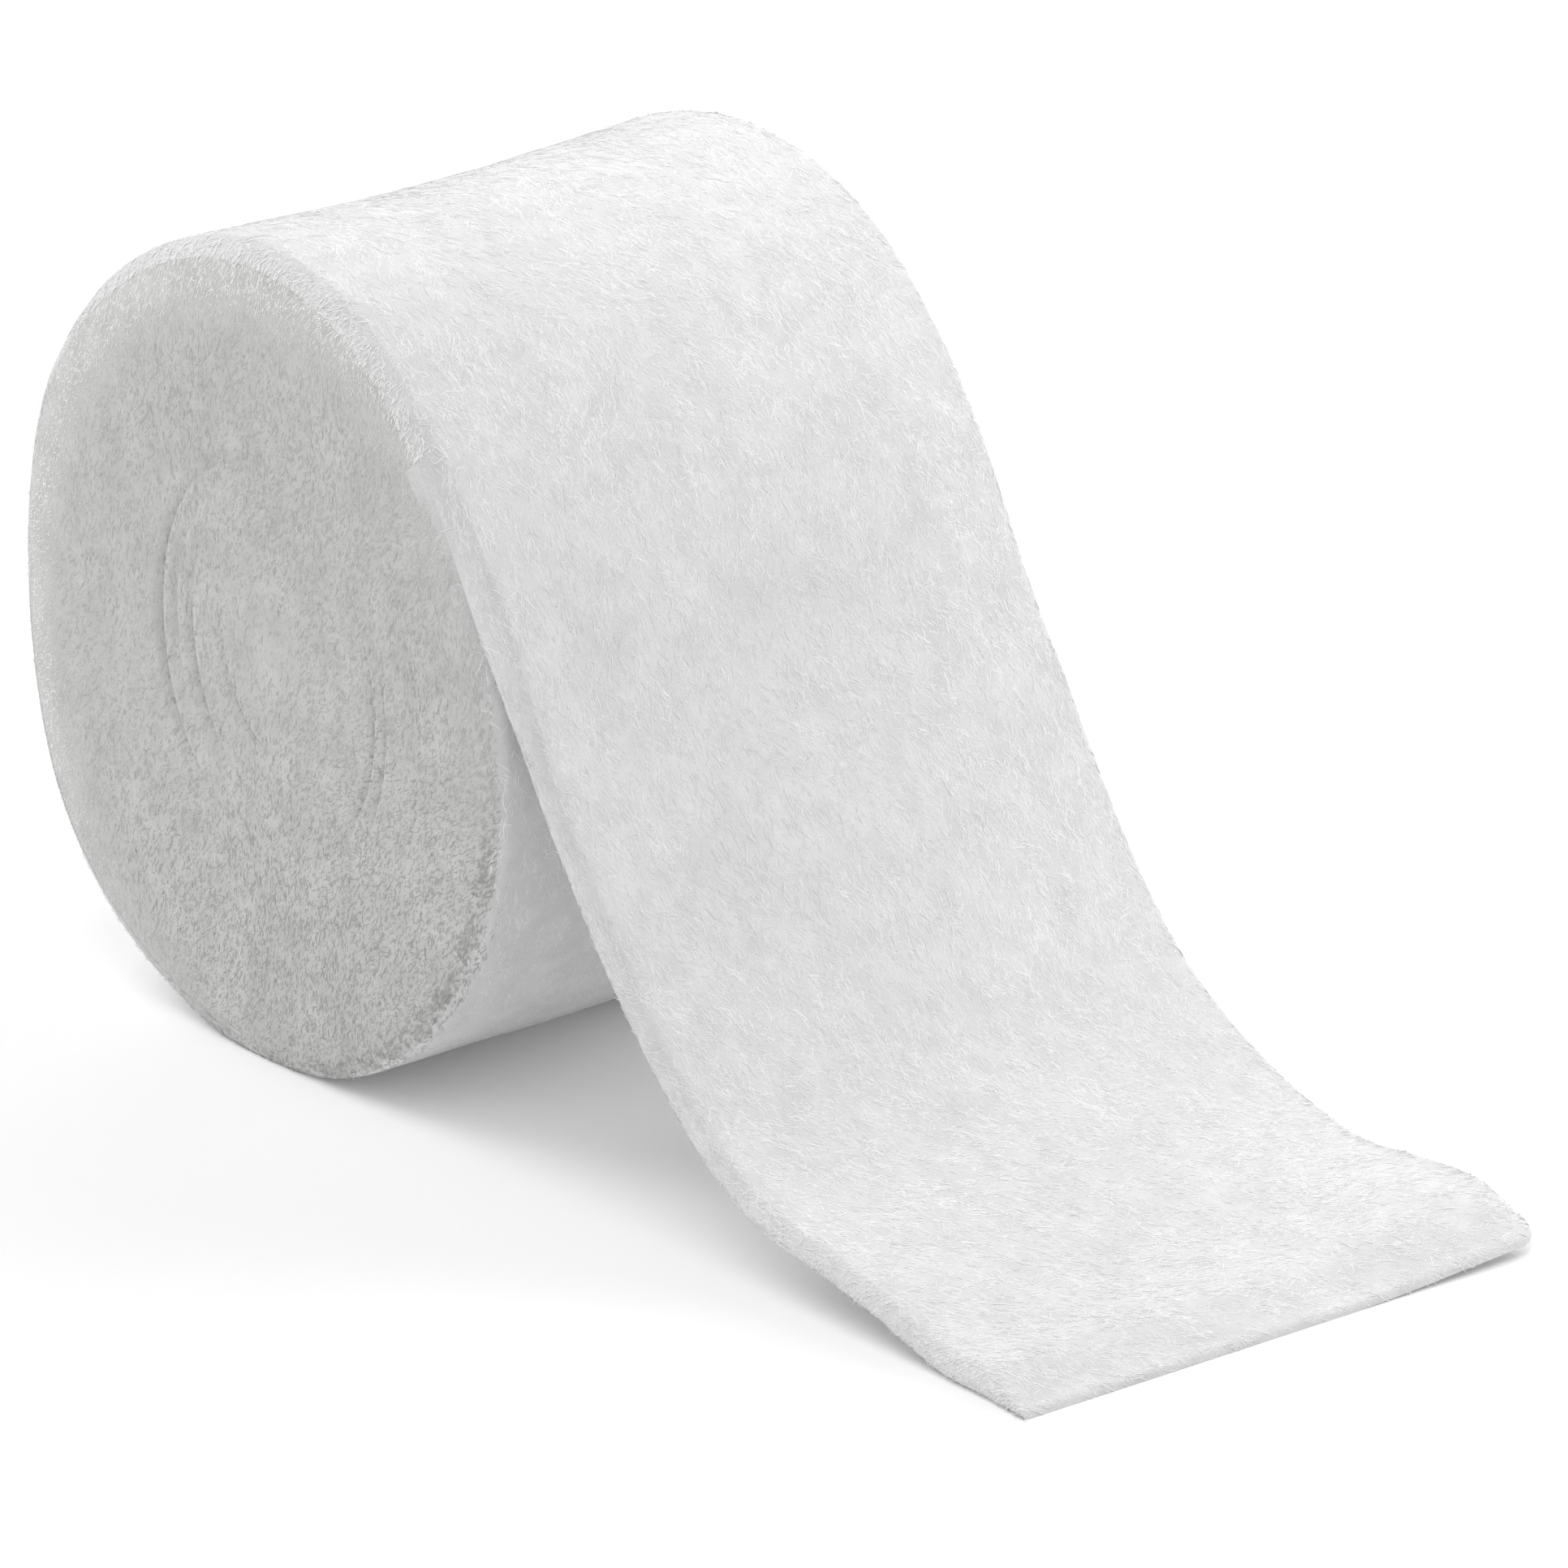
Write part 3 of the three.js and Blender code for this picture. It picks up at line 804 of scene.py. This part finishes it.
def fibre_lines(rng, ground, heading, fibre):
    """Four points along each fibre, and the direction across it at the middle two. ground
    holds the roots of the fibres and the normal, forward and sideways directions there."""
    roots, normals, forward, side = ground
    count = len(roots)
    length = rng.lognormal(math.log(fibre["length"]), LENGTH_SPREAD, count)
    length = np.clip(length, fibre["shortest"], fibre["longest"])
    bend = rng.uniform(*fibre["bend"], count)
    lift = rng.uniform(*fibre["lift"], count)
    ahead = np.cos(heading)[:, None] * forward + np.sin(heading)[:, None] * side
    aside = np.cross(normals, ahead)
    turn = np.cumsum(rng.normal(0, 1, (count, 4)) * bend[:, None], axis=1)
    turn -= turn.mean(axis=1, keepdims=True)
    step = (length / 3)[:, None]
    onward = np.cumsum(step * np.cos(turn), axis=1)
    sideways = np.cumsum(step * np.sin(turn), axis=1)
    onward -= onward.mean(axis=1, keepdims=True)
    sideways -= sideways.mean(axis=1, keepdims=True)
    height = lift[:, None] * np.sin(np.pi * FIBRE_PLACES) - fibre["sink"]
    height = height + (length * fibre["rise"])[:, None] * FIBRE_PLACES ** RISE_POWER
    line = (
        roots[:, None]
        + onward[..., None] * ahead[:, None]
        + sideways[..., None] * aside[:, None]
        + height[..., None] * normals[:, None]
    )
    line[..., 2] = np.maximum(line[..., 2], LOWEST_FIBRE)
    middle = turn[:, 1:3, None]
    flat = np.cos(middle) * aside[:, None] - np.sin(middle) * ahead[:, None]
    tilt = rng.uniform(-LARGEST_TILT, LARGEST_TILT, count)[:, None, None]
    return line, np.cos(tilt) * flat + np.sin(tilt) * normals[:, None]


def add_fibres(name, line, across, normals, width, tone, places, material):
    """One mesh of many fibres, each with two pointed ends and a quad between them. They are
    lit as the surface they lie on."""
    half = 0.5 * width[:, None, None] * across
    left, right = line[:, 1:3] - half, line[:, 1:3] + half
    corners = [line[:, 0], left[:, 0], right[:, 0], left[:, 1], right[:, 1], line[:, 3]]
    points = np.stack(corners, axis=1).reshape(-1, 3)
    start = (np.arange(len(line)) * len(corners))[:, None]
    quads = start + [1, 3, 4, 2]
    triangles = np.concatenate([start + [0, 1, 2], start + [3, 5, 4]])
    made = make_object(name, points, quads, triangles, material, sharp=False)
    made.data.normals_split_custom_set_from_vertices(np.repeat(normals, len(corners), axis=0))
    set_attribute(made, "tone", np.repeat(tone, len(corners)))
    set_uv(made, "OFBake", np.repeat(places, len(corners), axis=0))


class Ground:
    """A grid of points that fibres lie on, with its normals and its two directions."""

    def __init__(self, points, outward):
        self.points = points
        self.forward = unit(np.gradient(points, axis=0))
        normals = np.cross(self.forward, np.gradient(points, axis=1))
        self.normals = unit(normals) * outward

    def at(self, row, column):
        roots = sampled(self.points, row, column)
        normals = unit(sampled(self.normals, row, column))
        forward = sampled(self.forward, row, column)
        forward = unit(forward - (forward * normals).sum(axis=1)[:, None] * normals)
        return roots, normals, forward, np.cross(normals, forward)


class StripGround(Ground):
    """The strip's outer face and its two rounded edges, measured along and across."""

    def __init__(self, points, length):
        edge = EDGE_STEPS - 1
        sheet = np.concatenate([points[:, -edge:], points[:, :TOP_STEPS + 1 + edge]], axis=1)
        super().__init__(sheet, 1)
        self.length = length
        gone = np.cumsum(np.linalg.norm(np.diff(sheet, axis=1), axis=2), axis=1)
        gone = np.hstack([np.zeros((len(gone), 1)), gone])
        self.across = gone - gone[:, edge + TOP_STEPS // 2][:, None]
        self.half_width = self.across[:, -1].max()

    def on(self, length, across):
        row = np.interp(length, self.length, np.arange(len(self.length)))
        near = self.across[np.minimum(row.astype(int), len(self.across) - 1)]
        before = np.clip((near <= across[:, None]).sum(axis=1) - 1, 0, near.shape[1] - 2)
        pick = np.arange(len(before))
        low, high = near[pick, before], near[pick, before + 1]
        column = before + np.clip((across - low) / np.maximum(high - low, 1e-6), 0, 1)
        return self.at(row, column)


# How the fibres lie on the strip: mostly along it, and more across it where it meets the
# floor, LAY_TURNS past the place where the loose end leaves the roll. Their angles drift
LAY_ALONG = math.radians(14)
LAY_ON_FLOOR = math.radians(58)
LAY_TURNS = (70, 115)
LAY_SPREAD = math.radians(20)
LAY_DRIFT = [
    {"size": 1.0, "long": 16, "wide": 13, "seed": 31},
    {"size": 0.5, "long": 6, "wide": 6, "seed": 32},
]

# Tufts are fibres that lie together and are alike in tone, and single fibres cross them. The
# angles are spreads in radians, and a brightness is a mean and a spread
TUFT_FIBRES = 9
TUFT_LENGTH = 1.5
TUFT_WIDTH = 0.36
TUFT_TURN = 0.3
TUFT_FAN = 0.25
TUFT_BRIGHTNESS = (0.55, 0.22)
SINGLE_TURN = 0.8
SINGLE_BRIGHTNESS = (0.45, 0.2)
FLECKED = 0.14

# The tones differ less where the loose end nears the floor, CALM_GROWS past the place where
# it leaves the roll
CALM_ON_FLOOR = 0.45
CALM_GROWS = (60, 110)
# The fibres' tone follows the wadding's thickness, painted shade patch included
STRIP_TONE = {"brightness": 0.6, "thickness": 0.7, "less": 0.15}

# On the roll, only a few fibres reach past the shoulder on to the end faces
SHOULDER_INSET = 1.5
SHOULDER_OVERHANG = 0.8


def lay_angle(length, across, leaves):
    drift = sum(bumps(row, length, across) for row in LAY_DRIFT)
    turned = between(LAY_ALONG, LAY_ON_FLOOR, ease(*LAY_TURNS, length - leaves))
    return turned + LAY_SPREAD * drift


def add_strip_fibres(name, seed, ground, span, tufts, singles, leaves, material):
    """Tufts of fibres that lie together, and single ones that lie across them."""
    rng = np.random.default_rng(seed)
    wide = ground.half_width
    middle = np.stack([rng.uniform(*span, tufts), rng.uniform(-wide, wide, tufts)])
    middle = np.repeat(middle, TUFT_FIBRES, axis=1)
    tuft_angle = lay_angle(*middle, leaves) + np.repeat(rng.normal(0, TUFT_TURN, tufts), TUFT_FIBRES)
    ahead = rng.normal(0, TUFT_LENGTH, tufts * TUFT_FIBRES)
    aside = rng.normal(0, TUFT_WIDTH, tufts * TUFT_FIBRES)
    length = middle[0] + ahead * np.cos(tuft_angle) - aside * np.sin(tuft_angle)
    across = middle[1] + ahead * np.sin(tuft_angle) + aside * np.cos(tuft_angle)
    heading = tuft_angle + rng.normal(0, TUFT_FAN, tufts * TUFT_FIBRES)
    bright = np.repeat(rng.normal(*TUFT_BRIGHTNESS, tufts), TUFT_FIBRES)
    more = np.stack([rng.uniform(*span, singles), rng.uniform(-wide, wide, singles)])
    length, across = np.append(length, more[0]), np.append(across, more[1])
    heading = np.append(heading, lay_angle(*more, leaves) + rng.normal(0, SINGLE_TURN, singles))
    bright = np.append(bright, rng.normal(*SINGLE_BRIGHTNESS, singles))

    reach = HALF_WIDTH - SHOULDER_INSET + rng.exponential(SHOULDER_OVERHANG, len(length))
    reach = between(reach, wide, ease(0, EDGE_MORPH_FULL, length - leaves))
    inside = (np.abs(across) < np.minimum(reach, wide)) & (length > span[0]) & (length < span[1])
    length, across, heading, bright = (one[inside] for one in (length, across, heading, bright))
    on = ground.on(length, across)
    line, turned = fibre_lines(rng, on, heading, STRIP_FIBRE)
    # The wadding's thickness with the painted shade patch, which darkens these fibres as well
    thick_or_lit = strip_thickness_and_shade(length - leaves, across)
    calm = between(1.0, CALM_ON_FLOOR, ease(*CALM_GROWS, length - leaves))
    bright = between(0.5, bright, calm) + calm * rng.normal(0, FLECKED, len(length))
    tone = STRIP_TONE["brightness"] * bright + STRIP_TONE["thickness"] * thick_or_lit - STRIP_TONE["less"]
    places = np.stack([length / ground.length[-1], across / (2 * wide) + 0.5], axis=1)
    width = rng.uniform(*STRIP_FIBRE["width"], len(length))
    add_fibres(name, line, turned, on[1], width, np.clip(tone, 0, 1), places, material)


# How the fibres lie on the end faces. They begin on the strip's own edge, where they are lifted clear
# of it, and are spread by the length of each turn. Their flecks follow a beta distribution. The outer
# turns are lighter for the first part of each turn, over the top of the rim and towards -X, as painted
# light, and fibres over parted turns are darker, as painted shade. Their tone also holds the end faces'
# painted light and shade
FACE_COMBED = (0.48, 0.0, 0.88)
FACE_SWIRL = {"size": 0.5, "long": 14, "wide": 14, "seed": 33}
FACE_FIBRE_TURN = 0.35
LEAST_TURNS_LEFT = 0.3
STRIP_EDGE_CLEAR = 0.14
STRIP_EDGE_ENDS = 0.95
FLECKS = 0.38
FLECK_SHAPE = (1.6, 3.0)
FLECK_MEAN = 0.35
GAP_SHADE = 0.9
OUTER_LIGHTER = 0.5
OUTER_TURNS = (0.6, 1.8)
OUTER_SHARE = (0.35, 0.6)


def add_face_fibres(name, seed, side, count, material):
    """Short fibres on an end face, combed upwards across the turns."""
    rng = np.random.default_rng(seed)
    face, turns = face_points(side, 0)
    ground = Ground(face, -side)
    reach = np.cumsum(np.maximum(LEAST_TURNS_LEFT, FACE_TURNS - turns[:, 0]))
    row = np.interp(rng.uniform(0, reach[-1], count), reach, np.arange(len(reach)))
    column = rng.uniform(0, TURN_STEPS, count)
    turn, share = np.interp(row, np.arange(len(turns)), turns[:, 0]), column / TURN_STEPS
    roots, normals = ground.at(row, column)[:2]
    roots = roots + STRIP_EDGE_CLEAR * (1 - ease(STRIP_EDGE_ENDS, 1, turn))[:, None] * normals
    aside = unit(np.cross(FACE_COMBED, normals))
    on = (roots, normals, np.cross(normals, aside), aside)
    swirl = bumps(FACE_SWIRL, roots[:, 0], roots[:, 2])
    line, turned = fibre_lines(rng, on, swirl + rng.normal(0, FACE_FIBRE_TURN, count), FACE_FIBRE)
    fleck = rng.beta(*FLECK_SHAPE, count) - FLECK_MEAN
    # Painted light on the upper rim of the outer turns; GAP_SHADE paints shade in parted turns
    outer = OUTER_LIGHTER * (1 - ease(*OUTER_TURNS, turn + share)) * (1 - ease(*OUTER_SHARE, turn % 1))
    tone = face_tone(roots) + FLECKS * fleck + outer - GAP_SHADE * parted(turn, share)
    places = np.stack([roots[:, 0], roots[:, 2]], axis=1) / (2 * ROLL_HALF_Z) + [0.5, 0]
    width = rng.uniform(*FACE_FIBRE["width"], count)
    add_fibres(name, line, turned, normals, width, np.clip(tone, 0, 1), places, material)


# The pieces of fibres: on the strip from the tucked end on, then over the top from a place
# before the loose end leaves the roll to one after it, then on to the cut end
BACK_FROM = 6.0
TOP_FROM = -58.0
LOOSE_FROM = 40.0
STRIP_FIBRE_PIECES = [
    {"name": "back_fibres", "seed": 4, "tufts": 3200, "singles": 6000},
    {"name": "top_fibres", "seed": 5, "tufts": 4400, "singles": 8000},
    {"name": "loose_end_fibres", "seed": 6, "tufts": 4400, "singles": 8000},
]
FACE_FIBRE_PIECES = [
    {"name": "near_face_fibres", "seed": 7, "side": -1, "count": 49000},
    {"name": "far_face_fibres", "seed": 8, "side": 1, "count": 26000},
]


def add_all_fibres(points, facts):
    strip_look = fibre_material("strip_fibre", STRIP_FIBRE_DARK, STRIP_FIBRE_LIGHT)
    face_look = fibre_material("face_fibre", SHADED_CUT_EDGE_COLOUR, FACE_FIBRE_LIGHT)
    ground = StripGround(points, facts["length"])
    leaves = facts["leaves"]
    ends = [BACK_FROM, leaves + TOP_FROM, leaves + LOOSE_FROM, facts["length"][-1]]
    for row, span in zip(STRIP_FIBRE_PIECES, zip(ends, ends[1:])):
        add_strip_fibres(
            row["name"], row["seed"], ground, span, row["tufts"], row["singles"], leaves, strip_look,
        )
    for row in FACE_FIBRE_PIECES:
        add_face_fibres(row["name"], row["seed"], row["side"], row["count"], face_look)


# Camera: its distance from the target is in millimetres, its focal length in pixels of an
# image PHOTO_WIDTH_PX wide
CAMERA_AZIMUTH = 49.91
CAMERA_ELEVATION = 20.43
CAMERA_TARGET = (48.91, 0.0, 38.90)
CAMERA_DISTANCE = 1212.0
PHOTO_WIDTH_PX = 1932
FOCAL_PX = 13302.0
SENSOR_WIDTH = 36.0

# Studio light: soft round lights aimed at the roll, in metres and watts, with the azimuth
# counted from +X towards +Y, over a pale floor lit a little from within
FLOOR_SIZE = 12.0
FLOOR_COLOUR = (0.96, 0.96, 0.96, 1)
FLOOR_GLOW = 0.06
WORLD_STRENGTH = 0.45
LIGHT_TARGET = (0.04, 0.0, 0.04)
LIGHTS = [
    {"name": "left", "azimuth": 205, "elevation": 48, "distance": 1.4, "size": 1.0, "power": 8.2},
    {"name": "front", "azimuth": 310, "elevation": 60, "distance": 1.4, "size": 1.0, "power": 4.4},
    {"name": "low_behind", "azimuth": 140, "elevation": 12, "distance": 1.2, "size": 0.5, "power": 2.2},
    {"name": "right", "azimuth": 60, "elevation": 20, "distance": 0.35, "size": 0.2, "power": 0.3},
    {"name": "far_side", "azimuth": 90, "elevation": 30, "distance": 0.35, "size": 0.2, "power": 0.34},
    {"name": "high", "azimuth": 95, "elevation": 60, "distance": 0.35, "size": 0.2, "power": 0.16},
]


def add_floor():
    mesh = bpy.data.meshes.new("floor")
    half = FLOOR_SIZE / 2
    corners = [(-half, -half, 0), (half, -half, 0), (half, half, 0), (-half, half, 0)]
    mesh.from_pydata(corners, [], [(0, 1, 2, 3)])
    floor = bpy.data.objects.new("floor", mesh)
    bpy.context.scene.collection.objects.link(floor)
    material, _, shader = new_material("pale_floor")
    shader.inputs["Base Color"].default_value = FLOOR_COLOUR
    shader.inputs["Roughness"].default_value = 0.9
    shader.inputs["Specular IOR Level"].default_value = 0.0
    shader.inputs["Emission Color"].default_value = (1, 1, 1, 1)
    shader.inputs["Emission Strength"].default_value = FLOOR_GLOW
    mesh.materials.append(material)


def add_light(name, place, size, power):
    light = bpy.data.lights.new(name, "AREA")
    light.shape = "DISK"
    light.size = size
    light.energy = power
    lamp = bpy.data.objects.new(name, light)
    lamp.location = place
    lamp.rotation_mode = "QUATERNION"
    lamp.rotation_quaternion = (Vector(LIGHT_TARGET) - Vector(place)).to_track_quat("-Z", "Y")
    bpy.context.scene.collection.objects.link(lamp)


def add_lights():
    world = bpy.data.worlds.new("studio")
    world.use_nodes = True
    world.node_tree.nodes["Background"].inputs["Color"].default_value = (1, 1, 1, 1)
    world.node_tree.nodes["Background"].inputs["Strength"].default_value = WORLD_STRENGTH
    bpy.context.scene.world = world
    for row in LIGHTS:
        azimuth, elevation = math.radians(row["azimuth"]), math.radians(row["elevation"])
        away = Vector((
            math.cos(azimuth) * math.cos(elevation),
            math.sin(azimuth) * math.cos(elevation),
            math.sin(elevation),
        ))
        add_light(row["name"], Vector(LIGHT_TARGET) + away * row["distance"], row["size"], row["power"])


def add_camera():
    azimuth, elevation = math.radians(CAMERA_AZIMUTH), math.radians(CAMERA_ELEVATION)
    back = Vector((
        math.sin(azimuth) * math.cos(elevation),
        -math.cos(azimuth) * math.cos(elevation),
        math.sin(elevation),
    ))
    data = bpy.data.cameras.new("camera")
    data.sensor_width = SENSOR_WIDTH
    data.lens = SENSOR_WIDTH * FOCAL_PX / PHOTO_WIDTH_PX
    camera = bpy.data.objects.new("camera", data)
    camera.location = (Vector(CAMERA_TARGET) + back * CAMERA_DISTANCE) * MM
    camera.rotation_mode = "QUATERNION"
    camera.rotation_quaternion = (-back).to_track_quat("-Z", "Y")
    bpy.context.scene.collection.objects.link(camera)
    bpy.context.scene.camera = camera


add_camera()
add_lights()
add_floor()
bpy.context.scene.view_settings.view_transform = "Standard"
strip, strip_facts = make_strip(
    wadding_material("strip_wadding", THICK_COLOUR, THIN_OR_SHADED_COLOUR, STRIP_MOTTLE)
)
make_roll(wadding_material("turn_edges", LIT_RIM_COLOUR, SHADED_CUT_EDGE_COLOUR, FACE_MOTTLE))
add_all_fibres(strip, strip_facts)
